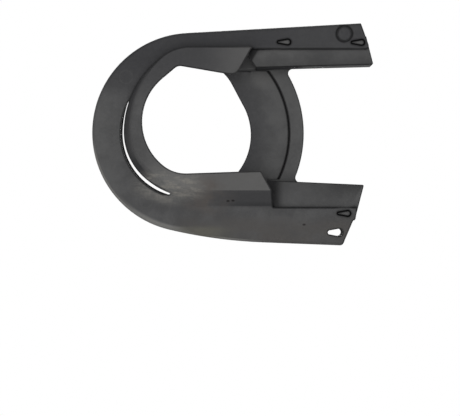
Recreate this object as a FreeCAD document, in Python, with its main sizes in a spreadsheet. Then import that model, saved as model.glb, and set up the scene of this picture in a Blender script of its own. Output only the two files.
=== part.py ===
import FreeCAD, Part
import math
import operator
import os

import Sketcher

# Front section of a closed chain guard: two moulded half shells clipped together.
# X runs to the rear along the arms, Z is up, Y points to the crank side.
# The origin is the chainring axis at mid thickness of the crank-side plate.
# A level is a distance from there towards the frame side, that is along -Y.

# Driving dimensions in millimetres and degrees
SIZES = {
    # Walls and fits of both shells
    "wall": 2.0,
    "clearance": 0.25,
    "seat_gap": 0.2,
    "case_width": 24.0,
    "overrun": 5.0,
    # Outline of the case round the chain
    "nose_radius": 96.0,
    "nose_offset": 6.3,
    "nose_drop": 0.45,
    "belly_radius": 470.0,
    "belly_angle": 256.7,
    "upper_tilt": 3.2,
    "lower_tilt": 2.2,
    "edge_round": 3.0,
    # Arm ends and seams of the frame-side shell
    "upper_seam": 79.7,
    "lower_seam": 72.6,
    "upper_end_top": 168.5,
    "upper_end_foot": 177.4,
    "upper_end_round": 4.5,
    "upper_end_ease": 1.0,
    "lower_end_start": 165.2,
    "lower_end_side": 163.4,
    "lower_end_side_drop": 11.0,
    "lower_end_notch": 161.0,
    "lower_end_notch_drop": 12.8,
    "lower_end_foot": 150.8,
    "lower_end_ease": 2.4,
    # Raised collar: a steep wall, a rolled flank at the left and a long ramp below
    "collar_rise": 7.0,
    "collar_draft": 0.4,
    "collar_radius": 59.0,
    "collar_skin": 1.6,
    "flank_run": 9.4,
    "shoulder_radius": 90.0,
    "crown_x": 4.5,
    "crown_z": 39.5,
    "crown_radius": 42.0,
    "ramp_angle": 235.0,
    "ramp_turn": 15.0,
    "ramp_foot_share": 0.75,
    "ramp_crest_share": 0.9,
    "fold_depth": 56.2,
    # Free inner edge of the collar
    "panel_end": 63.7,
    "panel_end_angle": 59.4,
    "panel_edge": 61.95,
    "panel_edge_tilt": 9.7,
    "panel_round": 10.0,
    "throat_x": 12.7,
    "throat_z": 9.5,
    "throat_radius": 53.7,
    "throat_top_angle": 130.0,
    "throat_round": 8.0,
    "throat_low_angle": 232.0,
    "throat_low_radius": 34.0,
    "block_edge_tilt": 1.96,
    "block_top": 72.5,
    "block_fold": 82.8,
    "block_foot": 84.0,
    # Crescent slot beside the flange
    "slot_lip": 0.15,
    "slot_gap": 3.1,
    "slot_start": 160.0,
    "slot_tip": 0.5,
    "slot_taper_radius": 61.0,
    "slot_outer_radius": 62.6,
    "slot_end_gap": 4.6,
    "slot_outer_end": 250.0,
    "slot_leave_angle": 225.0,
    "slot_leave_radius": 74.0,
    "slot_nose_angle": 250.0,
    "slot_nose": 1.2,
    # Teardrop clips
    "drop_length": 14.4,
    "drop_round": 3.6,
    "drop_tip": 2.0,
    "peg_gap": 1.6,
    "peg_sink": 0.3,
    "front_clip_x": 94.8,
    "front_clip_rise": 6.7,
    "upper_clip_x": 165.8,
    "upper_clip_rise": 6.3,
    "lower_clip_x": 152.4,
    "lower_clip_drop": 5.6,
    "rear_clip_x": 144.0,
    "rear_clip_rise": 12.3,
    # Moulded round on the upper arm
    "round_x": 152.8,
    "round_drop": 9.6,
    "round_radius": 8.0,
    "round_line": 1.8,
    "round_depth": 0.9,
    # Crank-side plate
    "opening_radius": 62.2,
    "opening_bow": 0.955,
    "relief_angle": 28.0,
    "relief_round": 40.0,
    "relief_left_angle": 178.0,
    "relief_left_turn": 38.0,
    "relief_stretch": 1.6,
    "rim_radius": 115.0,
    "rim_round": 4.5,
    "return_height": 8.0,
    # Dished bridge
    "step_radius": 101.5,
    "step_groove_width": 1.4,
    "step_groove_depth": 1.2,
    "dish_step": 1.8,
    "dish_depth": 3.2,
    "bridge_start": 28.0,
    "bridge_top": 61.0,
    "bridge_bottom": 45.0,
    # Arms of the crank-side shell
    "upper_inner": 60.3,
    "upper_inner_tilt": 1.46,
    "lower_inner": 42.9,
    "lower_inner_tilt": 2.6,
    "lip_cover": 12.2,
    "upper_lip_start": 61.4,
    "lower_lip_start": 72.0,
    "lip_bevel_run": 6.7,
    "lip_bevel_rise": 9.6,
    "upper_tail_inner": 180.8,
    "upper_tail_top": 171.2,
    "lower_tail_inner": 171.8,
    "lower_tail_bend": 162.9,
    "lower_tail_foot": 153.5,
    "tail_ease": 1.6,
}

LEFT = 1
RIGHT = -1
TOUCH = 1e-4
FORM_ERROR = "the object {} has no sound shape"
OPERATIONS = {"+": operator.add, "-": operator.sub, "*": operator.mul, "/": operator.truediv}

doc = FreeCAD.newDocument("chain_guard")
sheet = doc.addObject("Spreadsheet::Sheet", "Sizes")
for row, (name, value) in enumerate(SIZES.items(), 1):
    sheet.set(f"A{row}", name)
    sheet.set(f"B{row}", str(value))
    sheet.setAlias(f"B{row}", name)
doc.recompute()


class Size:
    """A number together with the sheet expression that gives it, so that each formula is written once."""

    def __init__(self, value, text):
        self.value = float(value)
        self.text = text

    def __add__(self, other):
        return combined(self, "+", other)

    def __radd__(self, other):
        return combined(other, "+", self)

    def __sub__(self, other):
        return combined(self, "-", other)

    def __rsub__(self, other):
        return combined(other, "-", self)

    def __mul__(self, other):
        return combined(self, "*", other)

    def __rmul__(self, other):
        return combined(other, "*", self)

    def __truediv__(self, other):
        return combined(self, "/", other)

    def __neg__(self):
        return combined(0, "-", self)


def as_size(number):
    return number if isinstance(number, Size) else Size(number, repr(float(number)))


def combined(first, sign, second):
    first, second = as_size(first), as_size(second)
    return Size(OPERATIONS[sign](first.value, second.value), f"({first.text} {sign} {second.text})")


def size(name):
    return Size(sheet.get(name), f"Sizes.{name}")


def sine(angle):
    angle = as_size(angle)
    return Size(math.sin(math.radians(angle.value)), f"sin({angle.text})")


def cosine(angle):
    angle = as_size(angle)
    return Size(math.cos(math.radians(angle.value)), f"cos({angle.text})")


def tangent(angle):
    angle = as_size(angle)
    return Size(math.tan(math.radians(angle.value)), f"tan({angle.text})")


def root(number):
    return Size(math.sqrt(number.value), f"sqrt({number.text})")


# Points and paths in the X-Z plane


def place(x, z):
    return as_size(x), as_size(z)


def along(start, angle, distance):
    """The point at a distance from a start in the direction of an angle above +X."""
    return start[0] + distance * cosine(angle), start[1] + distance * sine(angle)


def meeting(first, first_angle, second, second_angle):
    """The point where two lines cross, each given by a point and an angle."""
    across = (second[0] - first[0]) * sine(second_angle) - (second[1] - first[1]) * cosine(second_angle)
    return along(first, first_angle, across / sine(second_angle - first_angle))


def rounded(corner, heading_in, heading_out, radius, side):
    """The two path entries that turn a corner with an arc; side is LEFT or RIGHT."""
    turn = heading_out - heading_in if side == LEFT else heading_in - heading_out
    reach = radius * tangent(turn / 2)
    return [(along(corner, heading_in, -reach), (radius, side)), (along(corner, heading_out, reach), None)]


def gap_between(first, second):
    across, up = second[0] - first[0], second[1] - first[1]
    return root(across * across + up * up)


def towards(start, target, distance):
    """The point at a distance from a start on the way to a target."""
    share = distance / gap_between(start, target)
    return start[0] + (target[0] - start[0]) * share, start[1] + (target[1] - start[1]) * share


def eased(before, corner, after, reach, side):
    """The two path entries that turn a corner with an arc that begins and ends a reach away from it."""
    start, finish = towards(corner, before, reach), towards(corner, after, reach)
    half_chord = gap_between(start, finish) / 2
    radius = reach * half_chord / root(reach * reach - half_chord * half_chord)
    return [(start, (radius, side)), (finish, None)]


def wrapping_centre(first, first_reach, second, second_reach):
    """The right-hand point at one reach from a first point and at another reach from a second point."""
    span = gap_between(first, second)
    onward = (first_reach * first_reach - second_reach * second_reach + span * span) / (span * 2)
    aside = root(first_reach * first_reach - onward * onward)
    middle = towards(first, second, onward)
    return (
        middle[0] + (first[1] - second[1]) / span * aside,
        middle[1] - (first[0] - second[0]) / span * aside,
    )


def vector(point):
    return FreeCAD.Vector(point[0].value, point[1].value, 0)


def arc_middle(start, finish, radius, side):
    """The point halfway along the shorter arc between two points, on the outer side of its turn."""
    chord = finish - start
    half = chord.Length / 2
    sagitta = radius - math.sqrt(radius**2 - half**2)
    outward = FreeCAD.Vector(chord.y, -chord.x, 0) * (side / chord.Length)
    return (start + finish) * 0.5 + outward * sagitta


def pin(sketch, geometry, end, kind, distance):
    """Fixes one coordinate of a point from the sketch's origin to a size."""
    if distance.value >= 0:
        rule = Sketcher.Constraint(kind, -1, 1, geometry, end, distance.value)
        text = distance.text
    else:
        rule = Sketcher.Constraint(kind, geometry, end, -1, 1, -distance.value)
        text = f"-({distance.text})"
    sketch.setExpression(f"Constraints[{sketch.addConstraint(rule)}]", text)


def constrain(sketch, path):
    """Adds a closed path of points and bends to a sketch, with every point and radius bound to the sheet."""
    edges = []
    for count, (start, bend) in enumerate(path):
        finish = path[(count + 1) % len(path)][0]
        first, last = vector(start), vector(finish)
        if bend is None:
            edges.append((sketch.addGeometry(Part.LineSegment(first, last)), 1, 2))
            continue
        radius, side = bend
        middle = arc_middle(first, last, radius.value, side)
        if side == LEFT:
            edges.append((sketch.addGeometry(Part.Arc(first, middle, last)), 1, 2))
        else:
            edges.append((sketch.addGeometry(Part.Arc(last, middle, first)), 2, 1))
    for count, (geometry, start_end, finish_end) in enumerate(edges):
        following = edges[(count + 1) % len(edges)]
        sketch.addConstraint(Sketcher.Constraint("Coincident", geometry, finish_end, following[0], following[1]))
        point, bend = path[count]
        pin(sketch, geometry, start_end, "DistanceX", point[0])
        pin(sketch, geometry, start_end, "DistanceY", point[1])
        if bend is not None:
            rule = Sketcher.Constraint("Radius", geometry, bend[0].value)
            sketch.setExpression(f"Constraints[{sketch.addConstraint(rule)}]", bend[0].text)


def front_sketch(name, level, path):
    """A sketch seen from the frame side, at a level above the crank-side plate."""
    sketch = doc.addObject("Sketcher::SketchObject", name)
    sketch.Placement = FreeCAD.Placement(
        FreeCAD.Vector(0, -as_size(level).value, 0), FreeCAD.Rotation(FreeCAD.Vector(1, 0, 0), 90)
    )
    sketch.setExpression("Placement.Base.y", f"0 - {as_size(level).text}")
    constrain(sketch, path)
    return sketch


# Solids


def prism(name, path, bottom, top):
    """The path swept between two levels."""
    solid = doc.addObject("Part::Extrusion", name)
    solid.Base = front_sketch(name + "_outline", bottom, path)
    solid.DirMode = "Normal"
    solid.Solid = True
    height = as_size(top) - bottom
    solid.LengthFwd = height.value
    solid.setExpression("LengthFwd", height.text)
    return solid


def lofted(name, sections):
    """A solid with straight flanks from each section to the next."""
    solid = doc.addObject("Part::Loft", name)
    solid.Sections = sections
    solid.Solid = True
    solid.Ruled = True
    return solid


def turned(name, path):
    """A section of radius and Y turned about the chainring axis."""
    sketch = doc.addObject("Sketcher::SketchObject", name + "_section")
    constrain(sketch, path)
    solid = doc.addObject("Part::Revolution", name)
    solid.Source = sketch
    solid.Axis = FreeCAD.Vector(0, 1, 0)
    solid.Angle = 360
    solid.Solid = True
    return solid


def disc(name, centre, radius, bottom, top):
    """A cylinder across the case, between two levels."""
    solid = doc.addObject("Part::Cylinder", name)
    solid.Placement = FreeCAD.Placement(FreeCAD.Vector(), FreeCAD.Rotation(FreeCAD.Vector(1, 0, 0), 90))
    solid.setExpression("Radius", radius.text)
    solid.setExpression("Height", (as_size(top) - bottom).text)
    solid.setExpression("Placement.Base.x", centre[0].text)
    solid.setExpression("Placement.Base.y", f"0 - {as_size(bottom).text}")
    solid.setExpression("Placement.Base.z", centre[1].text)
    return solid


def joined(name, *solids):
    result = doc.addObject("Part::MultiFuse", name)
    result.Shapes = list(solids)
    return result


def cut(name, base, tool):
    result = doc.addObject("Part::Cut", name)
    result.Base = base
    result.Tool = tool
    return result


def shared(name, first, second):
    result = doc.addObject("Part::Common", name)
    result.Base = first
    result.Tool = second
    return result


# Levels across the case
wall = size("wall")
plate_outer = -(wall / 2)
plate_inner = wall / 2
band_outer = plate_outer + size("case_width")
band_inner = band_outer - wall
collar_outer = band_outer + size("collar_rise")
collar_inner = collar_outer - wall
lip_outer = band_inner - size("seat_gap")
lip_inner = lip_outer - wall
below = plate_outer - size("overrun") - size("dish_depth")
above = collar_outer + size("overrun")

AXIS = place(0, 0)
far_right = size("upper_tail_inner") + size("overrun") * 4


class Case:
    """The outline of the case, drawn in by an inset from the outside of the frame-side shell."""

    def __init__(self, inset):
        centre = place(size("nose_offset"), -size("nose_drop"))
        belly = along(centre, size("belly_angle"), size("nose_radius") - size("belly_radius"))
        self.nose = size("nose_radius") - inset
        self.belly = size("belly_radius") - inset
        self.top_start = along(centre, 90 + size("upper_tilt"), self.nose)
        self.belly_start = along(centre, size("belly_angle"), self.nose)
        self.bottom_start = along(belly, 270 - size("lower_tilt"), self.belly)

    def top_at(self, x):
        return place(x, self.top_start[1] + (x - self.top_start[0]) * tangent(size("upper_tilt")))

    def bottom_at(self, x):
        return place(x, self.bottom_start[1] - (x - self.bottom_start[0]) * tangent(size("lower_tilt")))

    def path(self, top_end, bottom_end, closing):
        """From the top edge's rear end round the nose to the bottom edge's rear end, then the closing entries."""
        return [
            (self.top_at(top_end), None),
            (self.top_start, (self.nose, LEFT)),
            (self.belly_start, (self.belly, LEFT)),
            (self.bottom_start, None),
            (self.bottom_at(bottom_end), None),
            *closing,
        ]


def teardrop(x, z, inset):
    """A clip outline with its round end to the rear and its tip to the front."""
    big = size("drop_round") - inset
    small = size("drop_tip") - inset
    spread = size("drop_length") - size("drop_round") - size("drop_tip")
    round_x = x + size("drop_length") / 2 - size("drop_round")
    tip_x = round_x - spread
    lean = (big - small) / spread
    rise = root(1 - lean * lean)
    return [
        (place(round_x + big, z), (big, LEFT)),
        (place(round_x - big * lean, z + big * rise), None),
        (place(tip_x - small * lean, z + small * rise), (small, LEFT)),
        (place(tip_x - small * lean, z - small * rise), None),
        (place(round_x - big * lean, z - big * rise), (big, LEFT)),
    ]


CLIPS = {
    "front": (size("front_clip_x"), size("upper_seam") + size("front_clip_rise")),
    "upper": (size("upper_clip_x"), size("upper_seam") + size("upper_clip_rise")),
    "lower": (size("lower_clip_x"), -(size("lower_seam") + size("lower_clip_drop"))),
}
REAR_CLIP = (size("rear_clip_x"), Case(0).bottom_at(size("rear_clip_x"))[1] + size("rear_clip_rise"))


# Frame-side shell


def panel_end_at(z):
    """The slanting rear edge of the top panel at a height."""
    return place(size("panel_end") + (z - size("upper_seam")) / tangent(size("panel_end_angle")), z)


CROWN = place(size("crown_x"), size("crown_z"))

# Sections of the collar from its foot to its crest: shares of the rise, of the flank's run, of the ramp's turn
COLLAR_SECTIONS = [(0, 0, -0.5), (0.5, 0, 1), (0.85, 0.6, 0.3), (1, 1, 0)]


def collar_arcs(crown, flange):
    """The centre of the shoulder arc round both the crown and the flange, and its ends on them."""
    shoulder = size("shoulder_radius")
    centre = wrapping_centre(CROWN, shoulder - crown, AXIS, shoulder - flange)
    return centre, towards(centre, CROWN, shoulder), towards(centre, AXIS, shoulder)


def collar_path(rise, flank, turn, shrink):
    """One section of the collar: crown, shoulder, flange, then the ramp, bent level to the rear."""
    crown = size("crown_radius") - size("collar_draft") * rise - shrink
    flange = size("collar_radius") - size("flank_run") * flank - shrink
    low_edge = size("lower_seam") + (size("fold_depth") - size("lower_seam")) * rise - shrink
    ramp_angle = size("ramp_angle") + size("ramp_turn") * turn
    bend_share = size("ramp_foot_share") + (size("ramp_crest_share") - size("ramp_foot_share")) * rise
    shoulder_start, shoulder_end = collar_arcs(crown, flange)[1:]
    crown_top = along(CROWN, 90, crown)
    ramp_start = along(AXIS, ramp_angle, flange)
    heading = ramp_angle - 270
    drop = low_edge + ramp_start[1]
    bend = bend_share * drop / (1 - cosine(heading))
    bend_start = along(ramp_start, heading, (bend_share - 1) * drop / sine(heading))
    return [
        (panel_end_at(crown_top[1]), None),
        (crown_top, (crown, LEFT)),
        (shoulder_start, (size("shoulder_radius"), LEFT)),
        (shoulder_end, (flange, LEFT)),
        (ramp_start, None),
        (bend_start, (bend, LEFT)),
        (place(bend_start[0] - bend * sine(heading), -low_edge), None),
        (place(size("block_foot") + size("overrun") * 6, -low_edge), None),
    ]


def collar(name, shrink, foot_level):
    """The raised collar as a solid, from its foot level up by the rise."""
    sections = []
    for count, (rise, flank, turn) in enumerate(COLLAR_SECTIONS):
        level = foot_level + size("collar_rise") * rise
        sections.append(front_sketch(f"{name}_section_{count}", level, collar_path(rise, flank, turn, shrink)))
    return lofted(name, sections)


def throat_path():
    """The free inner edge of the collar, closed behind the arms: everything inside it is open."""
    centre = place(size("throat_x"), size("throat_z"))
    panel_corner = meeting(
        place(size("panel_end"), size("upper_seam")),
        size("panel_end_angle"),
        place(0, size("panel_edge")),
        -size("panel_edge_tilt"),
    )
    top = along(centre, size("throat_top_angle"), size("throat_radius"))
    throat_corner = meeting(
        top, size("throat_top_angle") - 90, place(0, size("panel_edge")), -size("panel_edge_tilt")
    )
    low = along(centre, size("throat_low_angle"), size("throat_radius"))
    low_centre = along(centre, size("throat_low_angle"), size("throat_radius") - size("throat_low_radius"))
    low_end = along(low_centre, 270 + size("block_edge_tilt"), size("throat_low_radius"))
    block_rise = (size("block_top") - low_end[0]) * tangent(size("block_edge_tilt"))
    return [
        (place(far_right, size("upper_seam")), None),
        (place(size("panel_end"), size("upper_seam")), None),
        *rounded(
            panel_corner, 180 + size("panel_end_angle"), 180 - size("panel_edge_tilt"), size("panel_round"), RIGHT
        ),
        *rounded(
            throat_corner,
            180 - size("panel_edge_tilt"),
            90 + size("throat_top_angle"),
            size("throat_round"),
            LEFT,
        ),
        (top, (size("throat_radius"), LEFT)),
        (low, (size("throat_low_radius"), LEFT)),
        (low_end, None),
        (place(size("block_top"), low_end[1] + block_rise), None),
        (place(size("block_fold"), -size("fold_depth")), None),
        (place(size("block_foot"), -size("lower_seam")), None),
        (place(far_right, -size("lower_seam")), None),
    ]


def slot_path():
    """The crescent between the band and the collar's wall: a blunt tip at the top, a small nose below."""
    inner = size("collar_radius") - size("slot_lip")
    shoulder = size("shoulder_radius") - size("slot_lip")
    shoulder_centre = collar_arcs(size("crown_radius"), size("collar_radius"))[0]
    leave = size("slot_leave_radius")
    leave_centre = along(AXIS, size("slot_leave_angle"), inner - leave)
    return [
        (
            along(shoulder_centre, size("slot_start"), shoulder + size("slot_tip")),
            (size("slot_taper_radius"), LEFT),
        ),
        (
            towards(shoulder_centre, AXIS, size("shoulder_radius") + size("slot_gap")),
            (size("slot_outer_radius"), LEFT),
        ),
        (along(AXIS, size("slot_outer_end"), size("collar_radius") + size("slot_end_gap")), None),
        (along(leave_centre, size("slot_nose_angle"), leave + size("slot_nose")), None),
        (along(leave_centre, size("slot_nose_angle"), leave), (leave, RIGHT)),
        (along(AXIS, size("slot_leave_angle"), inner), (inner, RIGHT)),
        (towards(shoulder_centre, AXIS, shoulder), (shoulder, RIGHT)),
        (along(shoulder_centre, size("slot_start"), shoulder), None),
    ]


def frame_side_limits():
    """The space that the frame-side shell keeps: cut off at the seams and at the arm ends with eased corners."""
    case = Case(0)
    seam_end = place(size("upper_end_foot"), size("upper_seam"))
    end_top = case.top_at(size("upper_end_top"))
    end_foot = case.bottom_at(size("lower_end_foot"))
    notch = place(size("lower_end_notch"), -(size("lower_seam") + size("lower_end_notch_drop")))
    top_corner = eased(seam_end, end_top, case.top_start, size("upper_end_ease"), LEFT)
    foot_corner = eased(case.bottom_start, end_foot, notch, size("lower_end_ease"), LEFT)
    ceiling = end_top[1] + size("overrun")
    ground = end_foot[1] - size("overrun")
    front = -(size("nose_radius") + size("overrun"))
    path = [
        *top_corner,
        (place(top_corner[1][0][0], ceiling), None),
        (place(front, ceiling), None),
        (place(front, ground), None),
        (place(foot_corner[0][0][0], ground), None),
        *foot_corner,
        (notch, None),
        (place(size("lower_end_side"), -(size("lower_seam") + size("lower_end_side_drop"))), None),
        (place(size("lower_end_start"), -size("lower_seam")), None),
        (place(size("block_foot"), -size("lower_seam")), None),
        (place(size("block_foot"), size("upper_seam")), None),
        *eased(place(size("block_foot"), size("upper_seam")), seam_end, end_top, size("upper_end_round"), LEFT),
    ]
    return prism("frame_limits", path, below, band_outer + size("overrun"))


def outline_edges(block):
    """The numbers of the edges that the face shares with the case's outline, from one arm end to the other."""
    case = Case(0)
    corners = [case.top_start, case.belly_start, case.bottom_start]
    marks = [FreeCAD.Vector(corner[0].value, -band_outer.value, corner[1].value) for corner in corners]
    found = []
    for number, edge in enumerate(block.Shape.Edges, 1):
        on_face = all(abs(vertex.Y + band_outer.value) < TOUCH for vertex in edge.Vertexes)
        at_mark = any(mark.distanceToPoint(vertex.Point) < TOUCH for mark in marks for vertex in edge.Vertexes)
        if on_face and at_mark:
            found.append(number)
    return found


def frame_side_shell():
    block = prism("frame_block", Case(0).path(far_right, far_right, []), plate_outer, band_outer)
    doc.recompute()
    soft = doc.addObject("Part::Fillet", "frame_block_rounded")
    soft.Base = block
    soft.Edges = [(number, size("edge_round").value, size("edge_round").value) for number in outline_edges(block)]
    case_part = shared("frame_case", soft, frame_side_limits())
    outer = joined("frame_outer", case_part, collar("collar_form", as_size(0), band_outer))
    tools = [
        prism("frame_hollow", Case(wall).path(far_right, far_right, []), below, band_inner),
        collar("collar_hollow", size("collar_skin"), band_inner),
        prism("throat", throat_path(), below, above),
        prism("crescent_slot", slot_path(), lip_inner, above),
    ]
    for name, (x, z) in {**CLIPS, "rear": REAR_CLIP}.items():
        tools.append(prism(f"{name}_clip_hole", teardrop(x, z, as_size(0)), lip_inner, above))
    round_top = Case(0).top_at(size("round_x"))
    centre = place(size("round_x"), round_top[1] - size("round_drop"))
    groove_floor = band_outer - size("round_depth")
    ring = disc("round_outside", centre, size("round_radius"), groove_floor, above)
    core = disc("round_inside", centre, size("round_radius") - size("round_line"), groove_floor, above)
    tools.append(cut("round_groove", ring, core))
    shell = cut("frame_shell", outer, joined("frame_tools", *tools))
    shell.Label = "frame_side_shell"
    return shell


# Crank-side shell


def upper_inner_at(x, rise):
    """The upper arm's inner edge, or a line above it."""
    return place(x, size("upper_inner") + rise + x * tangent(size("upper_inner_tilt")))


def lower_inner_at(x, drop):
    """The lower arm's inner edge, or a line below it."""
    return place(x, -(size("lower_inner") + drop + x * tangent(size("lower_inner_tilt"))))


def on_circle(radius, height, tilt):
    """Where a circle about the axis meets a sloping line, measured along X."""
    slope_here = tangent(tilt)
    square = 1 + slope_here * slope_here
    inside = radius * radius * square - height * height
    return (root(inside) - height * slope_here) / square


def rim_corner(height, tilt, sign):
    """The ends of the round between the bridge rim and an arm's inner edge: on the rim and on the arm."""
    rim, soft = size("rim_radius"), size("rim_round")
    beside = height - soft / cosine(tilt)
    x = on_circle(rim + soft, beside, tilt)
    z = beside + x * tangent(tilt)
    share = rim / (rim + soft)
    return (
        place(x * share, sign * z * share),
        place(x - soft * sine(tilt), sign * (z + soft * cosine(tilt))),
    )


def upper_tail_at(z):
    """The rear end line of the upper arm at a height."""
    inner = upper_inner_at(size("upper_tail_inner"), 0)
    top = Case(wall + size("clearance")).top_at(size("upper_tail_top"))
    return place(inner[0] + (z - inner[1]) * (top[0] - inner[0]) / (top[1] - inner[1]), z)


LOWER_LIP_EDGE = size("lower_seam") + size("lip_cover")
UPPER_LIP_EDGE = size("upper_seam") + size("lip_cover")
LOWER_BEND = place(size("lower_tail_bend"), -LOWER_LIP_EDGE)


def lower_tail_at(z):
    """The rear end line of the lower arm's lip at a height."""
    inner = lower_inner_at(size("lower_tail_inner"), 0)
    return place(
        inner[0] + (z - inner[1]) * (LOWER_BEND[0] - inner[0]) / (LOWER_BEND[1] - inner[1]), z
    )


def plate_path():
    """The crank-side plate: nose, arms and the round rim of the bridge between them."""
    case = Case(wall + size("clearance"))
    lower_rim, lower_root = rim_corner(size("lower_inner"), size("lower_inner_tilt"), -1)
    upper_rim, upper_root = rim_corner(size("upper_inner"), size("upper_inner_tilt"), 1)
    tail_foot = case.bottom_at(size("lower_tail_foot"))
    tail_top = case.top_at(size("upper_tail_top"))
    lower_tip = lower_inner_at(size("lower_tail_inner"), 0)
    upper_tip = upper_inner_at(size("upper_tail_inner"), 0)
    return [
        (tail_top, None),
        (case.top_start, (case.nose, LEFT)),
        (case.belly_start, (case.belly, LEFT)),
        (case.bottom_start, None),
        (tail_foot, None),
        (LOWER_BEND, None),
        *eased(LOWER_BEND, lower_tip, lower_root, size("tail_ease"), LEFT),
        (lower_root, (size("rim_round"), RIGHT)),
        (lower_rim, (size("rim_radius"), LEFT)),
        (upper_rim, (size("rim_round"), RIGHT)),
        (upper_root, None),
        *eased(upper_root, upper_tip, tail_top, size("tail_ease"), LEFT),
    ]


def opening_path():
    """The round crank opening, drawn out wider at the upper left and to a blunt corner behind the top panel."""
    radius = size("opening_radius")
    relief = size("relief_angle")
    relief_start = along(AXIS, relief, radius)
    relief_end = along(AXIS, relief + 90, radius)
    corner = meeting(relief_start, relief + 90, relief_end, relief)
    left_angle = size("relief_left_angle")
    wide = radius * size("relief_stretch")
    wide_centre = along(AXIS, left_angle, radius - wide)
    turn = size("relief_left_turn")
    reach = radius + (wide - radius) * cosine(left_angle - relief - 90)
    tight = (reach - wide * cosine(turn)) / (1 - cosine(turn))
    tight_centre = along(wide_centre, relief + 90 + turn, wide - tight)
    return [
        (along(tight_centre, relief + 90, tight), (tight, LEFT)),
        (along(wide_centre, relief + 90 + turn, wide), (wide, LEFT)),
        (along(AXIS, left_angle, radius), (radius, LEFT)),
        (along(AXIS, relief + 270, radius), (radius * size("opening_bow"), LEFT)),
        (relief_start, None),
        *rounded(corner, relief + 90, relief + 180, size("relief_round"), LEFT),
    ]


def bridge_region(grow):
    """The part of the plate between the arms that is dished, grown by a wall on all sides."""
    left = size("bridge_start") - grow
    right = size("rim_radius") + size("overrun")
    top = size("bridge_top") + grow
    bottom = -(size("bridge_bottom") + grow)
    return [
        (place(left, top), None),
        (place(left, bottom), None),
        (place(right, bottom), None),
        (place(right, top), None),
    ]


def dish_section(radius, front, rim_face, hole_face, groove_width):
    """Half section of the dish as radius and Y: deeper towards the opening, grooved beside the step."""
    groove = size("step_groove_depth")
    groove_start = radius - groove_width
    return [
        (place(wall, front), None),
        (place(wall, hole_face), None),
        (place(size("opening_radius") - wall, hole_face), None),
        (place(groove_start, rim_face), None),
        (place(groove_start, rim_face + groove), None),
        (place(radius, rim_face + groove), None),
        (place(radius, front), None),
    ]


def lip_path(start, edge, inner_at, tail_at, sign):
    """The near lip of an arm, bevelled at its front corner round the chainring."""
    bevel_x = start + size("lip_bevel_run")
    tail = inner_at(size("upper_tail_inner") if sign > 0 else size("lower_tail_inner"), 0)
    edge_end = tail_at(sign * edge)
    bevel_end = inner_at(bevel_x, 0)
    path = [
        (edge_end, None),
        (place(start, sign * edge), None),
        (inner_at(start, size("lip_bevel_rise")), None),
        (bevel_end, None),
        *eased(bevel_end, tail, edge_end, size("tail_ease"), LEFT),
    ]
    return path if sign > 0 else turned_back(path)


def turned_back(path):
    """The same outline run the other way round."""
    points = [entry[0] for entry in path]
    bends = [entry[1] for entry in path]
    bends = [bends[-1]] + bends[:-1]
    pairs = list(zip(points, bends))
    pairs.reverse()
    return pairs


def arm_wall_path(start, inner_at, tail_at, sign):
    """The inner wall of an arm, from the lip's bevel to the rear end."""
    front = start + size("lip_bevel_run")
    tail_inner = size("upper_tail_inner") if sign > 0 else size("lower_tail_inner")
    tail = inner_at(tail_inner, 0)
    outer_tail = tail_at(inner_at(tail_inner, wall)[1])
    path = [
        (inner_at(outer_tail[0], wall), None),
        (inner_at(front, wall), None),
        (inner_at(front, 0), None),
        *eased(inner_at(front, 0), tail, outer_tail, size("tail_ease"), LEFT),
    ]
    return path if sign > 0 else turned_back(path)


def crank_side_shell():
    tray = prism("plate_block", plate_path(), plate_outer, plate_outer + size("return_height"))
    inside = Case(wall + size("clearance") + wall)
    tray_hollow = prism(
        "plate_hollow", inside.path(far_right, far_right, []), plate_inner, plate_outer + size("return_height") * 2
    )
    plate = cut("plate", tray, tray_hollow)
    dish_rim = size("dish_step") - plate_inner
    dish_hole = dish_rim + size("dish_depth")
    step = size("step_radius")
    groove = size("step_groove_width")
    form = dish_section(step + wall, -plate_inner, dish_rim + wall, dish_hole + wall, groove + wall * 2)
    space = dish_section(step, -(plate_inner + size("overrun")), dish_rim, dish_hole, groove)
    dish_outside = shared(
        "dish_outside", turned("dish_form", form), prism("bridge_outside", bridge_region(wall), below, above)
    )
    dish_inside = shared(
        "dish_inside", turned("dish_space", space), prism("bridge_inside", bridge_region(as_size(0)), below, above)
    )
    opening = prism("crank_opening", opening_path(), below, above)
    rear_hole = prism("rear_clip_through", teardrop(*REAR_CLIP, as_size(0)), below, lip_inner)
    disc_part = cut(
        "bridged_plate",
        joined("plate_with_dish", plate, dish_outside),
        joined("plate_tools", dish_inside, opening, rear_hole),
    )
    pieces = [
        disc_part,
        prism(
            "upper_wall",
            arm_wall_path(size("upper_lip_start"), upper_inner_at, upper_tail_at, 1),
            plate_outer,
            lip_outer,
        ),
        prism(
            "lower_wall",
            arm_wall_path(size("lower_lip_start"), lower_inner_at, lower_tail_at, -1),
            plate_outer,
            lip_outer,
        ),
        prism(
            "upper_lip",
            lip_path(size("upper_lip_start"), UPPER_LIP_EDGE, upper_inner_at, upper_tail_at, 1),
            lip_inner,
            lip_outer,
        ),
        prism(
            "lower_lip",
            lip_path(size("lower_lip_start"), LOWER_LIP_EDGE, lower_inner_at, lower_tail_at, -1),
            lip_inner,
            lip_outer,
        ),
    ]
    for name, (x, z) in CLIPS.items():
        pieces.append(
            prism(f"{name}_peg", teardrop(x, z, size("peg_gap")), lip_inner, band_outer - size("peg_sink"))
        )
    shell = joined("crank_shell", *pieces)
    shell.Label = "crank_side_shell"
    return shell


def checked(shells):
    """Stops where an object failed to build or a shell isn't one sound solid."""
    for item in doc.Objects:
        if "Invalid" in item.State or "Error" in item.State:
            raise RuntimeError(FORM_ERROR.format(item.Name))
    for shell in shells:
        if not shell.Shape.isValid() or len(shell.Shape.Solids) != 1:
            raise RuntimeError(FORM_ERROR.format(shell.Label) + f": {len(shell.Shape.Solids)} solids")


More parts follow.
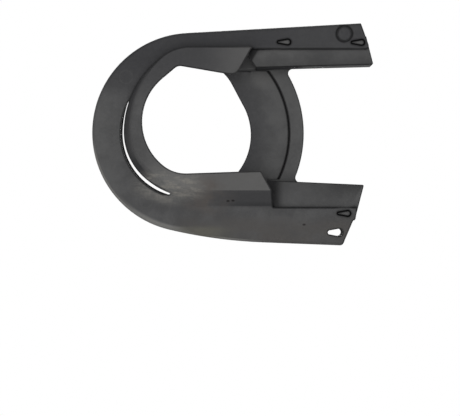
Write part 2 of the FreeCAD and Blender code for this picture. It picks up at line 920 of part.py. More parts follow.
shells = [frame_side_shell(), crank_side_shell()]
doc.recompute()
checked(shells)
os.makedirs("parts", exist_ok=True)
for shell in shells:
    shell.Shape.exportStep(f"parts/{shell.Label}.step")
    print(shell.Label, round(shell.Shape.Volume), "cubic mm", shell.Shape.BoundBox)
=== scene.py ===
import math

import bmesh
import bpy
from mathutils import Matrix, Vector


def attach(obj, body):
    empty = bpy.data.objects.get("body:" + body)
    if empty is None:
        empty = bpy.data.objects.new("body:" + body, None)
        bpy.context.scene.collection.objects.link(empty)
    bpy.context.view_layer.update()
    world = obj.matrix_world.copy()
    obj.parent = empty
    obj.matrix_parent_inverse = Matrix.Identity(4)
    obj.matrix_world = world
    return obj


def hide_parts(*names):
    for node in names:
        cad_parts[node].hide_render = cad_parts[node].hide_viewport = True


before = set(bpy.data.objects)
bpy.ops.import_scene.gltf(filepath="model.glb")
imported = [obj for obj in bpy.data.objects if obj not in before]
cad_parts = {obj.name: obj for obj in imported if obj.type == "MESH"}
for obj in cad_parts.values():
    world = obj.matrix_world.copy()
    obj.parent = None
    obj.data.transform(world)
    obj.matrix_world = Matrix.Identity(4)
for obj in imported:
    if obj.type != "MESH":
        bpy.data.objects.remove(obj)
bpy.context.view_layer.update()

# Picture: straight at the frame side and level
IMAGE_WIDTH = 460
IMAGE_HEIGHT = 416
PIXEL = 0.00096
CAMERA_X = 0.0429
CAMERA_Z = -0.0730
CAMERA_DISTANCE = 1.2
SENSOR = 36

# Places on the shells, in metres: X to the rear, Y out to the crank side, Z up
BAND_FACE = -0.023
OPENING_CENTRE = (0, 0, 0)
NOSE_CENTRE = (0.0063, 0, -0.0005)
ROUND_CENTRE = (0.1528, BAND_FACE, 0.0943)

# Clips seen in their holes: place along the arms and height
CLIPS = ((0.0948, 0.0864), (0.1658, 0.0860), (0.1524, -0.0782))

# Skins of the shells, and the rounded lower edge of the outline
WELD = 1e-6
BLEND_ANGLE = math.radians(38)
EDGE_SOFTNESS = 0.0005
ROUND_RADIUS = 0.003
ROW_TINY = 1e-4
BELLY_TOP = -0.080
BELLY_START = -0.040
BELLY_END = 0.130

# Colours of the plastic, of what has settled on it, and of the painted light and shade laid over it
PLASTIC = (0.0515, 0.0515, 0.0525, 1)
PLASTIC_LIGHT = (0.074, 0.074, 0.075, 1)
PLASTIC_DARK = (0.038, 0.038, 0.0405, 1)
PLASTIC_DARKEST = (0.023, 0.023, 0.0245, 1)
# Painted shade, cool, for the nose's top
COOL_PAINTED_SHADE = (0.0325, 0.0325, 0.0350, 1)
# Painted shade for the ramp
RAMP_SHADE = (0.038, 0.038, 0.0395, 1)
# Painted light for the nose's front, the dish away from the opening and the undersides
PAINTED_LIGHT_TONE = (0.079, 0.079, 0.079, 1)
# Pale rubbed wear on the pegs and mould rings, and painted light on the crests, the dish's top and the
# upper lip
WEAR_AND_PAINTED_LIGHT = (0.092, 0.091, 0.090, 1)
# Warm dust along the bottom, with painted light there
WARM_DUST_AND_LIGHT = (0.064, 0.0605, 0.058, 1)
BROWN_SMUDGE = (0.076, 0.066, 0.060, 1)
OLIVE_DUST = (0.092, 0.089, 0.074, 1)
# Pale dust in the scuffs, and a painted highlight on the rounded lower edge
PALE_DUST_AND_HIGHLIGHT = (0.158, 0.156, 0.150, 1)
PALE_SCUFF = (0.195, 0.185, 0.166, 1)
DARK_MARK = (0.012, 0.010, 0.010, 1)
# Painted shade in corners, gaps, grooves, holes and along sharp free edges
PAINTED_SHADE = (0.006, 0.006, 0.0065, 1)

# Grain of the plastic: how deep its clouds and its grain stand out, and its gloss
CLOUD_DEPTH = 0.0004
GRAIN_DEPTH = 0.00008
GLOSS = 0.15

# Ranges of the noise over which a tone comes in
CLOUD_LIGHT = (0.38, 0.68)
CLOUD_MOTTLE = (0.25, 0.65)
GRAIN_PITS = (0.52, 0.75)
FLECK_ROUGHNESS = (0.3, 0.7)
FLECKS = (0.3, 0.6)
DUST_FLECKS = (0.25, 0.6)
ROUND_FLECKS = (0.3, 0.65)
GROOVE_CLOUDS = (0.3, 0.6)
DUST_STREAKS = (0.36, 0.64)
SMUDGE_CLOUDS = (0.36, 0.68)
SCUFF_STREAKS = (0.44, 0.66)

# Streaks: how the noise is stretched and turned for them
DUST_STRETCH = (0.45, 1, 1)
SCUFF_STRETCH = (0.5, 0.5, 1.8)
SCUFF_TURN = math.radians(-34)

# Painted shade: how far it reaches out of corners, and the painted dark line along free edges
CORNER_REACH = 0.003
SHELTER_REACH = 0.016
FRAME_SIDE_LINE = 0.0017
CRANK_SIDE_LINE = 0.0013

# Openness over which painted shade comes in
IN_CORNER = (0.85, 0.35)
DULL_CORNER = (0.9, 0.5)
AT_EDGE = (0.99, 0.80)
FRAME_SIDE_SHELTER = (1.0, 0.4)
CRANK_SIDE_SHELTER = (1.0, 0.45)

# Painted light and shade on the nose and the flank of the frame side: where each tone begins and where it
# is full
NOSE_TOP = (0.015, 0.070)
NOSE_TOP_REAR = (0.130, 0.060)
NOSE_FRONT = (-0.050, -0.080)
NOSE_FRONT_TOP = (0.055, 0.015)
FLANK_CREST = (-0.0300, -0.0284)
FLANK_FOOT = (-0.0234, -0.0244)
FLANK_REAR = (0.000, -0.020)
FLANK_LOW_END = (-0.056, -0.036)
FLANK_HIGH_END = (0.075, 0.050)
SLOT_WALL_TILT = (0.05, 0.30)
SLOT_WALL_DEPTH = (-0.02295, -0.0226)
SLOT_WALL_REAR = (-0.010, -0.018)

# Ramp and raised faces of the frame side
RAMP_TILT = (-0.12, -0.22)
OFF_RAMP_TILT = (-0.22, -0.12)
RAMP_LIFT = (-0.0232, -0.0240)
RAMP_REAR = (0.008, 0.056)
RAMP_FOOT = (-0.0262, -0.0238)
RAMP_FOOT_REAR = (0.010, 0.075)
CREST = (-0.0262, -0.0296)
CREST_REAR = (0.010, 0.060)
LOWER_CREST = (0.010, -0.045)
LOWER_CREST_REAR = (-0.040, 0.020)

# Dust with painted light on the band's bottom, and a painted highlight on its rounded edge and over it
BOTTOM = (-0.076, -0.092)
BOTTOM_FRONT = (-0.030, 0.010)
EDGE_TILT = (0.0, -0.20)
EDGE_DEPTH = (-0.02299, -0.0228)
EDGE_REAR = (0.090, 0.030)
OVER_EDGE = (0.0900, 0.0930)
OVER_EDGE_HEIGHT = (-0.056, -0.086)
OVER_EDGE_REAR = (0.006, -0.008)
RIM = (0.0932, 0.0942)
RIM_HEIGHT = (0.000, -0.040)
RIM_REAR = (0.010, -0.005)
OLIVE_HEIGHT = (-0.0885, -0.0945)
OLIVE_REAR = (0.056, 0.018)
OLIVE_FRONT = (-0.016, 0.0)

# Patches: column, row and level in the picture, stretch of distances, where it begins and is full
FLANK_SHADE_PATCH = ((137, 156, -0.0265), (1.3, 0.2, 0.6), (0.016, 0.004))
RAMP_SMUDGES = ((206, 194, BAND_FACE), (0.75, 0.4, 1), (0.026, 0.006))
FLANGE_SCUFFS = ((171, 185, -0.028), (0.55, 0.4, 1.1), (0.025, 0.005))
DISH_TOP_LIGHT = ((264, 78, 0.0), (0.8, 0.2, 1), (0.014, 0.003))

# Small dark marks and faint mould rings: column and row in the picture, and level of the marks
DARK_MARKS = ((228, 201, -0.0255), (233, 200.6, -0.0255), (304, 224.6, BAND_FACE))
MARK_STRETCH = (0.6, 0.25, 1)
MARK_SIZE = (0.0014, 0.0005)
MOULD_RINGS = ((300, 218.5), (146, 201), (126, 77))
RING_INSIDE = (0.0052, 0.0062)
RING_OUTSIDE = (0.0073, 0.0063)

# Moulded round and clips: distances from their centres
ON_SIDE = (1, 0, 1)
ROUND_FLOOR = (0.0066, 0.0060)
GROOVE_INSIDE = (0.0070, 0.0075)
GROOVE_OUTSIDE = (0.0083, 0.0078)
CLIP_STRETCH = (0.5, 0, 1)
CLIP_RIM = (0.0054, 0.0066)
CLIP_HOLE = (0.0056, 0.0046)

# Dish of the crank side: distances from the opening's centre, and depths
DISH_INNER = (0.085, 0.062)
DISH_INNER_DEPTH = (-0.006, -0.002)
DISH_OUTER = (0.072, 0.100)
DISH_OUTER_DEPTH = (-0.018, -0.012)

# Lips of the crank side, with the tilt of their free edges in degrees
LIP_FACE = (-0.017, -0.020)
UPPER_HALF = (0.0, 0.02)
LOWER_HALF = (0.0, -0.02)
UPPER_LIP_FRONT = (0.120, 0.075)
UPPER_LIP_TILT = 1.46
UPPER_LIP_EDGE = (0.0616, 0.0608)
LOWER_LIP_TILT = -2.6
LOWER_LIP_EDGE = (-0.0440, -0.0432)
BESIDE_BLOCK = (0.0960, 0.0850)
PANEL_END_TILT = 59.4
BESIDE_PANEL = (-0.0214, -0.0188)

# Undersides, pegs and sheltered depths of the crank side
UNDERSIDE_TILT = (-0.6, -0.9)
ABOVE_BRIDGE = (0.118, 0.106)
PEG_END = (-0.0212, -0.0222)
BELOW_PEG_END = (-0.0225, -0.0215)
PEG_DEPTH = (-0.012, -0.018)
SHELTER_DEPTH = (-0.010, -0.018)

# Sockets of a colour mix, which share their names with those of other kinds of mix
FIRST_COLOUR = 6
SECOND_COLOUR = 7
MIXED_COLOUR = 2

# Rays that feel for nearby walls and edges
OPENNESS_SAMPLES = 12
EDGE_SAMPLES = 6


class Recipe:
    """The node tree of one material, built from named steps."""

    def __init__(self, name):
        self.material = bpy.data.materials.new(name)
        self.material.use_nodes = True
        self.nodes = self.material.node_tree.nodes
        self.links = self.material.node_tree.links
        self.shader = self.nodes["Principled BSDF"]
        self.place = self.nodes.new("ShaderNodeTexCoord").outputs["Object"]

    def feed(self, socket, source):
        """Links a source to a socket, or sets a constant on it."""
        if isinstance(source, bpy.types.NodeSocket):
            self.links.new(source, socket)
        else:
            socket.default_value = source

    def stretched(self, scale, turn=0.0):
        """The object's place, stretched and turned about Y for grain that runs one way."""
        node = self.nodes.new("ShaderNodeMapping")
        self.links.new(self.place, node.inputs["Vector"])
        node.inputs["Scale"].default_value = scale
        node.inputs["Rotation"].default_value = (0, turn, 0)
        return node.outputs["Vector"]

    def noise(self, scale, detail=3.0, roughness=0.5, place=None):
        """Cloudy noise on the object's place, or on a stretched one."""
        node = self.nodes.new("ShaderNodeTexNoise")
        self.links.new(place or self.place, node.inputs["Vector"])
        node.inputs["Scale"].default_value = scale
        node.inputs["Detail"].default_value = detail
        node.inputs["Roughness"].default_value = roughness
        return node.outputs["Fac"]

    def along(self, axis, vector=None):
        """One axis of the object's place, or of another vector."""
        node = self.nodes.new("ShaderNodeSeparateXYZ")
        self.links.new(vector or self.place, node.inputs["Vector"])
        return node.outputs[axis]

    def facing(self, axis, normal="True Normal"):
        """How much a face looks along an axis."""
        return self.along(axis, self.nodes.new("ShaderNodeNewGeometry").outputs[normal])

    def tilted_height(self, tilt):
        """The height above a line that rises to the rear by a tilt in degrees."""
        return self.along("Z", self.stretched((1, 1, 1), math.radians(tilt)))

    def spread(self, value, reach, least=0.0, most=1.0):
        """A soft step from least to most while the value goes from a reach's start to its end."""
        node = self.nodes.new("ShaderNodeMapRange")
        node.interpolation_type = "SMOOTHSTEP"
        self.links.new(value, node.inputs["Value"])
        start, end = reach
        node.inputs["From Min"].default_value = start
        node.inputs["From Max"].default_value = end
        node.inputs["To Min"].default_value = least
        node.inputs["To Max"].default_value = most
        return node.outputs["Result"]

    def paired(self, operation, first, second):
        """Two values brought together by a named operation."""
        node = self.nodes.new("ShaderNodeMath")
        node.operation = operation
        self.links.new(first, node.inputs[0])
        self.links.new(second, node.inputs[1])
        return node.outputs["Value"]

    def all_of(self, *shares):
        """The product of shares, full only where each of them is."""
        product = shares[0]
        for share in shares[1:]:
            product = self.paired("MULTIPLY", product, share)
        return product

    def greater(self, first, second):
        """The greater of two values."""
        return self.paired("MAXIMUM", first, second)

    def away(self, centre, stretch=(1, 1, 1)):
        """The distance from a point of the object, measured in a stretched space."""
        node = self.nodes.new("ShaderNodeVectorMath")
        node.operation = "DISTANCE"
        self.links.new(self.stretched(stretch), node.inputs[0])
        node.inputs[1].default_value = [c * s for c, s in zip(centre, stretch)]
        return node.outputs["Value"]

    def openness(self, reach, inside=False):
        """How open a place lies: 1 on a free face and less beside a wall, or inside, beside an edge."""
        node = self.nodes.new("ShaderNodeAmbientOcclusion")
        node.samples = OPENNESS_SAMPLES
        node.inside = inside
        node.inputs["Distance"].default_value = reach
        return node.outputs["AO"]

    def soft_edges(self, radius):
        """Normals that turn evenly round sharp edges."""
        node = self.nodes.new("ShaderNodeBevel")
        node.samples = EDGE_SAMPLES
        node.inputs["Radius"].default_value = radius
        return node.outputs["Normal"]

    def tint(self, colour, other, share):
        """One colour blended into another where the share says so."""
        node = self.nodes.new("ShaderNodeMix")
        node.data_type = "RGBA"
        self.links.new(share, node.inputs["Factor"])
        self.feed(node.inputs[FIRST_COLOUR], colour)
        self.feed(node.inputs[SECOND_COLOUR], other)
        return node.outputs[MIXED_COLOUR]

    def cover(self, other, *shares):
        """Lays another colour over the recipe's own, where all of the shares hold."""
        self.colour = self.tint(self.colour, other, self.all_of(*shares))

    def bump(self, height, distance, strength, under):
        """Normals that follow a height, over the normals under it."""
        node = self.nodes.new("ShaderNodeBump")
        self.links.new(height, node.inputs["Height"])
        self.links.new(under, node.inputs["Normal"])
        node.inputs["Distance"].default_value = distance
        node.inputs["Strength"].default_value = strength
        return node.outputs["Normal"]


def on_picture(column, row, level=BAND_FACE):
    """The place on a level of the frame side that a column and a row of the picture show."""
    depth = (CAMERA_DISTANCE + level - BAND_FACE) / CAMERA_DISTANCE
    across = (column - IMAGE_WIDTH / 2) * PIXEL * depth
    down = (row - IMAGE_HEIGHT / 2) * PIXEL * depth
    return (CAMERA_X + across, level, CAMERA_Z - down)


def cloudy_plastic(name):
    """Dark grey matt plastic with a cloudy tone, flecks and a fine grain, ready for later steps."""
    mix = Recipe(name)
    mix.back, mix.out, mix.height = mix.along("X"), mix.along("Y"), mix.along("Z")
    mix.clouds = mix.noise(scale=38, detail=5.0, roughness=0.62)
    mix.fleck = mix.noise(scale=420, detail=4.0, roughness=0.7)
    grain = mix.noise(scale=1500, detail=2.0, roughness=0.6)
    mix.colour = mix.tint(PLASTIC, PLASTIC_LIGHT, mix.spread(mix.clouds, CLOUD_LIGHT))
    mix.cover(PLASTIC_DARK, mix.spread(grain, GRAIN_PITS, most=0.5))
    mix.roughness = mix.spread(mix.fleck, FLECK_ROUGHNESS, least=0.50, most=0.66)
    mix.shader.inputs["Specular IOR Level"].default_value = GLOSS
    soft = mix.bump(mix.clouds, CLOUD_DEPTH, strength=0.25, under=mix.soft_edges(EDGE_SOFTNESS))
    mix.feed(mix.shader.inputs["Normal"], mix.bump(grain, GRAIN_DEPTH, strength=0.6, under=soft))
    return mix


def mottled(mix, least, most):
    """A share that the cloudy tone makes uneven."""
    return mix.spread(mix.clouds, CLOUD_MOTTLE, least, most)


def patch(mix, spot):
    """A soft patch about a spot of the picture."""
    place, stretch, reach = spot
    return mix.spread(mix.away(on_picture(*place), stretch), reach)


def paint_corner_shade(mix, wide, line):
    """Painted shade in corners and gaps, which are also duller, and a painted dark line along sharp free
    edges.
    """
    mix.cover(PAINTED_SHADE, wide)

    # Less painted shade in the round and about the clips
    less_shade = mix.spread(mix.away(ROUND_CENTRE, ON_SIDE), GROOVE_INSIDE, least=0.3)
    for across, up in CLIPS:
        from_clip = mix.away((across, 0, up), CLIP_STRETCH)
        less_shade = mix.all_of(less_shade, mix.spread(from_clip, CLIP_RIM, least=0.55))

    near = mix.openness(CORNER_REACH)
    mix.cover(PAINTED_SHADE, less_shade, mix.spread(near, IN_CORNER, most=0.95))
    mix.cover(PAINTED_SHADE, less_shade, mix.spread(mix.openness(line, inside=True), AT_EDGE, most=0.85))
    mix.feed(mix.shader.inputs["Base Color"], mix.colour)
    mix.feed(mix.shader.inputs["Roughness"], mix.greater(mix.roughness, mix.spread(near, DULL_CORNER)))


def shade_and_light_nose(mix):
    """Painted shade, cool, darkens the nose's top, and painted light lightens its front."""
    top = mix.all_of(mix.spread(mix.height, NOSE_TOP), mix.spread(mix.back, NOSE_TOP_REAR, least=0.7))
    mix.cover(COOL_PAINTED_SHADE, top, mottled(mix, least=0.8, most=1.0))
    front = mix.all_of(mix.spread(mix.back, NOSE_FRONT), mix.spread(mix.height, NOSE_FRONT_TOP))
    mix.cover(PAINTED_LIGHT_TONE, front, mottled(mix, least=0.3, most=0.9))


def shade_flank(mix):
    """Painted shade: the rolled flank is darker, the slot's outer wall is dull and dark, and a darker patch
    lies beside it.
    """
    rolled = mix.all_of(mix.spread(mix.out, FLANK_CREST), mix.spread(mix.out, FLANK_FOOT))
    beside_slot = mix.all_of(mix.spread(mix.back, FLANK_REAR), mix.spread(mix.height, FLANK_LOW_END))
    mix.cover(PLASTIC_DARKEST, rolled, beside_slot, mix.spread(mix.height, FLANK_HIGH_END, least=0.5))
    wall = mix.all_of(mix.spread(mix.facing("X"), SLOT_WALL_TILT), mix.spread(mix.out, SLOT_WALL_DEPTH))
    mix.cover(PAINTED_SHADE, wall, mix.spread(mix.back, SLOT_WALL_REAR))
    mix.roughness = mix.greater(mix.roughness, wall)
    mix.cover(PLASTIC_DARKEST, patch(mix, FLANK_SHADE_PATCH), mottled(mix, least=0.15, most=0.5))


def shade_ramp(mix):
    """Painted shade: the ramp below the block is darker to the rear, most at its foot."""
    ramp = mix.all_of(mix.spread(mix.facing("Z"), RAMP_TILT), mix.spread(mix.out, RAMP_LIFT))
    mix.cover(RAMP_SHADE, ramp, mix.spread(mix.back, RAMP_REAR))
    mix.cover(PLASTIC_DARKEST, ramp, mix.spread(mix.out, RAMP_FOOT), mix.spread(mix.back, RAMP_FOOT_REAR))


def light_crests(mix):
    """Painted light: raised faces are lighter, most on the lower one and at the rear of the panel."""
    crest = mix.all_of(mix.spread(mix.out, CREST), mix.spread(mix.facing("Z"), OFF_RAMP_TILT))
    mix.cover(WEAR_AND_PAINTED_LIGHT, crest, mix.spread(mix.back, CREST_REAR, least=0.12, most=0.75))
    lower = mix.all_of(crest, mix.spread(mix.height, LOWER_CREST, most=0.9))
    mix.cover(WEAR_AND_PAINTED_LIGHT, lower, mix.spread(mix.back, LOWER_CREST_REAR, least=0.45))


def dust_and_light_edge(mix):
    """Dust with painted light lies along the bottom of the band, and a painted highlight lies on its
    rounded edge and reaches over the edge.
    """
    streaks = mix.noise(scale=55, detail=6.0, roughness=0.7, place=mix.stretched(DUST_STRETCH))
    bottom = mix.all_of(mix.spread(mix.height, BOTTOM), mix.spread(mix.back, BOTTOM_FRONT))
    mix.cover(WARM_DUST_AND_LIGHT, bottom, mix.spread(streaks, DUST_STREAKS, least=0.25))
    edge = mix.all_of(mix.spread(mix.facing("Z", "Normal"), EDGE_TILT), mix.spread(mix.out, EDGE_DEPTH))
    mix.cover(PALE_DUST_AND_HIGHLIGHT, edge, mix.spread(mix.back, EDGE_REAR))

    # Over the edge a painted highlight lies below the nose, and olive dust lies behind it
    reach = mix.away(NOSE_CENTRE, ON_SIDE)
    over = mix.all_of(mix.spread(reach, OVER_EDGE), mix.spread(mix.height, OVER_EDGE_HEIGHT))
    mix.cover(PALE_DUST_AND_HIGHLIGHT, over, mix.spread(mix.back, OVER_EDGE_REAR), mottled(mix, least=0.65, most=1.0))
    rim = mix.all_of(mix.spread(reach, RIM), mix.spread(mix.height, RIM_HEIGHT))
    mix.cover(PALE_DUST_AND_HIGHLIGHT, rim, mix.spread(mix.back, RIM_REAR), mottled(mix, least=0.5, most=0.9))
    olive = mix.all_of(mix.spread(mix.height, OLIVE_HEIGHT), mix.spread(mix.back, OLIVE_REAR))
    mix.cover(OLIVE_DUST, olive, mix.spread(mix.back, OLIVE_FRONT), mottled(mix, least=0.45, most=1.0))


def smudge_and_scuff(mix):
    """Brown smudges lie on the ramp, and pale scuffs run along the curve of the flange."""
    clouds = mix.noise(scale=60, detail=4.0, roughness=0.55)
    smudged = mix.spread(clouds, SMUDGE_CLOUDS, least=0.1, most=0.85)
    mix.cover(BROWN_SMUDGE, patch(mix, RAMP_SMUDGES), smudged)
    scuffed = patch(mix, FLANGE_SCUFFS)
    mix.cover(PALE_DUST_AND_HIGHLIGHT, scuffed, mix.spread(mix.fleck, DUST_FLECKS, least=0.3, most=0.6))
    along_curve = mix.stretched(SCUFF_STRETCH, SCUFF_TURN)
    streaks = mix.noise(scale=120, detail=6.0, roughness=0.65, place=along_curve)
    flecked = mix.spread(mix.fleck, FLECKS, least=0.4, most=0.85)
    mix.cover(PALE_SCUFF, scuffed, mix.spread(streaks, SCUFF_STREAKS), flecked)


def small_marks(mix):
    """Dark marks on and below the ramp, faint rings left by the mould, and the moulded round."""
    for place in DARK_MARKS:
        mix.cover(DARK_MARK, patch(mix, (place, MARK_STRETCH, MARK_SIZE)))
    for place in MOULD_RINGS:
        reach = mix.away(on_picture(*place))
        mix.cover(WEAR_AND_PAINTED_LIGHT, mix.spread(reach, RING_INSIDE), mix.spread(reach, RING_OUTSIDE, most=0.15))

    # The round has a dull floor, and painted shade in its groove
    reach = mix.away(ROUND_CENTRE)
    flecked = mix.spread(mix.fleck, ROUND_FLECKS, least=0.3, most=0.95)
    mix.cover(PLASTIC_DARK, mix.spread(reach, ROUND_FLOOR), flecked)
    groove = mix.all_of(mix.spread(reach, GROOVE_INSIDE), mix.spread(reach, GROOVE_OUTSIDE))
    mix.cover(PAINTED_SHADE, groove, mix.spread(mix.clouds, GROOVE_CLOUDS, least=0.5, most=0.8))


def frame_side_plastic(name):
    """The outer shell: painted shade on the nose's top, flank, ramp and corners, painted light on its front
    and crests, dust with a painted highlight at the bottom, smudged ramp, scuffed flange, small marks.
    """
    mix = cloudy_plastic(name)
    shade_and_light_nose(mix)
    shade_flank(mix)
    shade_ramp(mix)
    light_crests(mix)
    dust_and_light_edge(mix)
    smudge_and_scuff(mix)
    small_marks(mix)
    sheltered = mix.spread(mix.openness(SHELTER_REACH), FRAME_SIDE_SHELTER, most=0.75)
    paint_corner_shade(mix, sheltered, FRAME_SIDE_LINE)
    return mix.material


def tone_dish(mix):
    """Painted shade on the dish near the opening, painted light on the dish and its rim away from it, and a
    painted light patch at its top.
    """
    reach = mix.away(OPENING_CENTRE, ON_SIDE)
    mix.cover(PLASTIC_DARK, mix.spread(reach, DISH_INNER, most=0.8), mix.spread(mix.out, DISH_INNER_DEPTH))
    outer = mix.all_of(mix.spread(reach, DISH_OUTER), mix.spread(mix.out, DISH_OUTER_DEPTH, least=0.6))
    mix.cover(PAINTED_LIGHT_TONE, outer, mottled(mix, least=0.3, most=0.9))
    mix.cover(WEAR_AND_PAINTED_LIGHT, patch(mix, DISH_TOP_LIGHT), mix.spread(mix.fleck, FLECKS, least=0.5, most=0.9))


def shade_lips(mix):
    """Painted light on the upper lip's front end; painted shade along both lips' free edges and in deep
    corners.
    """
    lip = mix.spread(mix.out, LIP_FACE)
    upper = mix.all_of(lip, mix.spread(mix.height, UPPER_HALF))
    lower = mix.all_of(lip, mix.spread(mix.height, LOWER_HALF))
    mix.cover(WEAR_AND_PAINTED_LIGHT, upper, mix.spread(mix.back, UPPER_LIP_FRONT), mottled(mix, least=0.1, most=0.5))
    mix.cover(PAINTED_SHADE, upper, mix.spread(mix.tilted_height(UPPER_LIP_TILT), UPPER_LIP_EDGE, most=0.85))
    mix.cover(PAINTED_SHADE, lower, mix.spread(mix.tilted_height(LOWER_LIP_TILT), LOWER_LIP_EDGE, most=0.6))

    # Painted deep shade beside the block and beside the panel's rear end
    mix.cover(PAINTED_SHADE, lower, mix.spread(mix.back, BESIDE_BLOCK))
    mix.cover(PAINTED_SHADE, upper, mix.spread(mix.tilted_height(PANEL_END_TILT), BESIDE_PANEL))


def light_and_dull_undersides(mix):
    """Undersides are dull and carry painted light, and are darker above the bridge."""
    under = mix.spread(mix.facing("Z"), UNDERSIDE_TILT)
    mix.cover(PAINTED_LIGHT_TONE, under)
    mix.cover(PLASTIC_DARKEST, under, mix.spread(mix.back, ABOVE_BRIDGE))
    mix.roughness = mix.greater(mix.roughness, under)


def wear_and_shade_pegs(mix):
    """The pegs are worn pale at their ends, with painted shade down in their holes."""
    mix.cover(WEAR_AND_PAINTED_LIGHT, mix.spread(mix.out, PEG_END, most=0.45))
    down = mix.all_of(mix.spread(mix.out, BELOW_PEG_END, most=0.2), mix.spread(mix.out, PEG_DEPTH))
    for across, up in CLIPS:
        hole = mix.spread(mix.away((across, 0, up), CLIP_STRETCH), CLIP_HOLE)
        mix.cover(PAINTED_SHADE, hole, down)


def crank_side_plastic(name):
    """The inner shell: painted light on the dish away from the opening and on undersides, painted shade
    along the lips' edges and in corners, worn clip pegs.
    """
    mix = cloudy_plastic(name)
    tone_dish(mix)
    shade_lips(mix)
    light_and_dull_undersides(mix)
    wear_and_shade_pegs(mix)
    sheltered = mix.spread(mix.openness(SHELTER_REACH), CRANK_SIDE_SHELTER)
    sheltered = mix.all_of(sheltered, mix.spread(mix.out, SHELTER_DEPTH, least=0.35))
    paint_corner_shade(mix, sheltered, CRANK_SIDE_LINE)
    return mix.material


def on_belly(vert):
    """Whether a point lies on the rounded lower edge of the outline."""
    x, y, z = vert.co
    in_round = BAND_FACE - WELD < y < BAND_FACE + ROUND_RADIUS + WELD
    return in_round and z < BELLY_TOP and BELLY_START < x < BELLY_END


def round_row(vert):
    """How far round the edge a point lies, as an angle from the side to the face."""
    rise = (BAND_FACE + ROUND_RADIUS - vert.co.y) / ROUND_RADIUS
    return math.asin(min(1.0, max(0.0, rise)))


def turn(first, second, third):
    """Twice the area of three points laid out by their place along the edge and their row."""
    across = (second.co.x - first.co.x) * (round_row(third) - round_row(first))
    return across - (third.co.x - first.co.x) * (round_row(second) - round_row(first))


def even_round(work):
    """Turns each diagonal on the rounded edge that crosses more rows than its four points' other one."""
    turned = True
    while turned:
        turned = False
        for edge in list(work.edges):
            if not edge.is_valid or len(edge.link_faces) != 2:
                continue
            first, last = edge.verts
            points = {vert for face in edge.link_faces for vert in face.verts}
            if len(points) != 4 or not all(on_belly(vert) for vert in points):
                continue
            one, other = points - {first, last}
            convex = turn(one, other, first) * turn(one, other, last) < 0
            gain = abs(round_row(first) - round_row(last)) - abs(round_row(one) - round_row(other))
            if convex and gain > ROW_TINY and bmesh.utils.edge_rotate(edge, True):
                turned = True


def moulding(node, material):
    """A shell as it leaves the mould: its own form in one closed skin, smooth where faces blend."""
    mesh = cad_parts[node].data.copy()
    work = bmesh.new()
    work.from_mesh(mesh)
    bmesh.ops.remove_doubles(work, verts=work.verts, dist=WELD)
    even_round(work)
    work.to_mesh(mesh)
    work.free()
    mesh.shade_smooth()
    mesh.set_sharp_from_angle(angle=BLEND_ANGLE)
    mesh.materials.clear()
    mesh.materials.append(material)
    piece = bpy.data.objects.new(node.replace("shell", "moulding"), mesh)
    bpy.context.collection.objects.link(piece)
    level = piece.modifiers.new("level_faces", "WEIGHTED_NORMAL")
    level.keep_sharp = True
    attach(piece, "root")
    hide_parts(node)


moulding("frame_side_shell", frame_side_plastic("frame_side_plastic"))
moulding("crank_side_shell", crank_side_plastic("crank_side_plastic"))


# Studio: a white floor below the picture, an even white surround and two soft lamps
FLOOR_HEIGHT = -0.32
FLOOR_CORNERS = ((-1.5, -1.4), (1.6, -1.4), (1.6, 0.24), (-1.5, 0.24))
FLOOR_PALE = (0.9, 0.9, 0.9, 1)
FLOOR_PALEST = (0.94, 0.94, 0.94, 1)
FLOOR_ROUGHNESS = 0.9
SURROUND_COLOUR = (1, 1, 1, 1)
SURROUND_LIGHT = 0.5
SURROUND_SEEN = 1.0
LAMP_AIM = (0.04, 0, 0)
FRONT_PLACE = (-0.25, -1.8, 0.0)
FRONT_SIZE = 1.3
FRONT_POWER = 16.5
REAR_PLACE = (0.4, 1.6, 0.6)
REAR_SIZE = 1.2
REAR_POWER = 32


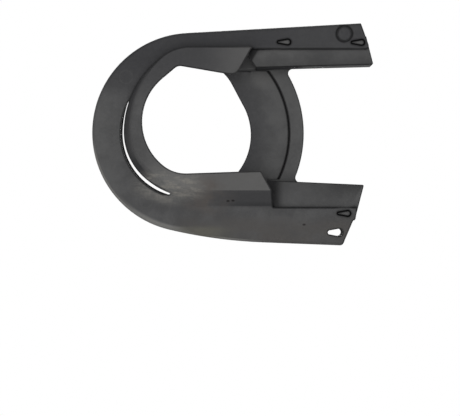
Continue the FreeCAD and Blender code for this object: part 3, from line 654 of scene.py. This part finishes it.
def lay_floor():
    """A sheet of white paper far below the object."""
    mesh = bpy.data.meshes.new("studio_floor")
    mesh.from_pydata([(x, y, FLOOR_HEIGHT) for x, y in FLOOR_CORNERS], [], [(0, 1, 2, 3)])
    floor = bpy.data.objects.new("studio_floor", mesh)
    bpy.context.collection.objects.link(floor)
    paper = Recipe("floor_paper")
    tone = paper.tint(FLOOR_PALE, FLOOR_PALEST, paper.noise(scale=6))
    paper.feed(paper.shader.inputs["Base Color"], tone)
    paper.shader.inputs["Roughness"].default_value = FLOOR_ROUGHNESS
    mesh.materials.append(paper.material)


def hang_surround():
    """An even white surround, seen as white and giving less light than it shows."""
    world = bpy.data.worlds.new("studio")
    bpy.context.scene.world = world
    world.use_nodes = True
    nodes, links = world.node_tree.nodes, world.node_tree.links
    background = nodes["Background"]
    background.inputs["Color"].default_value = SURROUND_COLOUR
    rays = nodes.new("ShaderNodeLightPath")
    seen = rays.outputs["Is Camera Ray"]
    for kind in ("Is Glossy Ray", "Is Transmission Ray"):
        either = nodes.new("ShaderNodeMath")
        either.operation = "MAXIMUM"
        links.new(seen, either.inputs[0])
        links.new(rays.outputs[kind], either.inputs[1])
        seen = either.outputs["Value"]
    level = nodes.new("ShaderNodeMapRange")
    level.inputs["To Min"].default_value = SURROUND_LIGHT
    level.inputs["To Max"].default_value = SURROUND_SEEN
    links.new(seen, level.inputs["Value"])
    links.new(level.outputs["Result"], background.inputs["Strength"])


def hang_lamp(name, place, size, power):
    """A square soft lamp turned to the object."""
    data = bpy.data.lights.new(name, "AREA")
    data.shape = "SQUARE"
    data.size = size
    data.energy = power
    lamp = bpy.data.objects.new(name, data)
    lamp.location = place
    lamp.rotation_euler = (Vector(LAMP_AIM) - Vector(place)).to_track_quat("-Z", "Y").to_euler()
    bpy.context.collection.objects.link(lamp)


def set_camera():
    """A level camera that gives the picture its scale on the band's face."""
    data = bpy.data.cameras.new("camera")
    data.sensor_width = SENSOR
    data.lens = SENSOR * CAMERA_DISTANCE / (IMAGE_WIDTH * PIXEL)
    camera = bpy.data.objects.new("camera", data)
    camera.location = (CAMERA_X, BAND_FACE - CAMERA_DISTANCE, CAMERA_Z)
    camera.rotation_euler = (math.pi / 2, 0, 0)
    bpy.context.collection.objects.link(camera)
    bpy.context.scene.camera = camera


lay_floor()
hang_surround()
hang_lamp("front_light", FRONT_PLACE, FRONT_SIZE, FRONT_POWER)
hang_lamp("rear_light", REAR_PLACE, REAR_SIZE, REAR_POWER)
set_camera()
bpy.context.scene.view_settings.view_transform = "Standard"
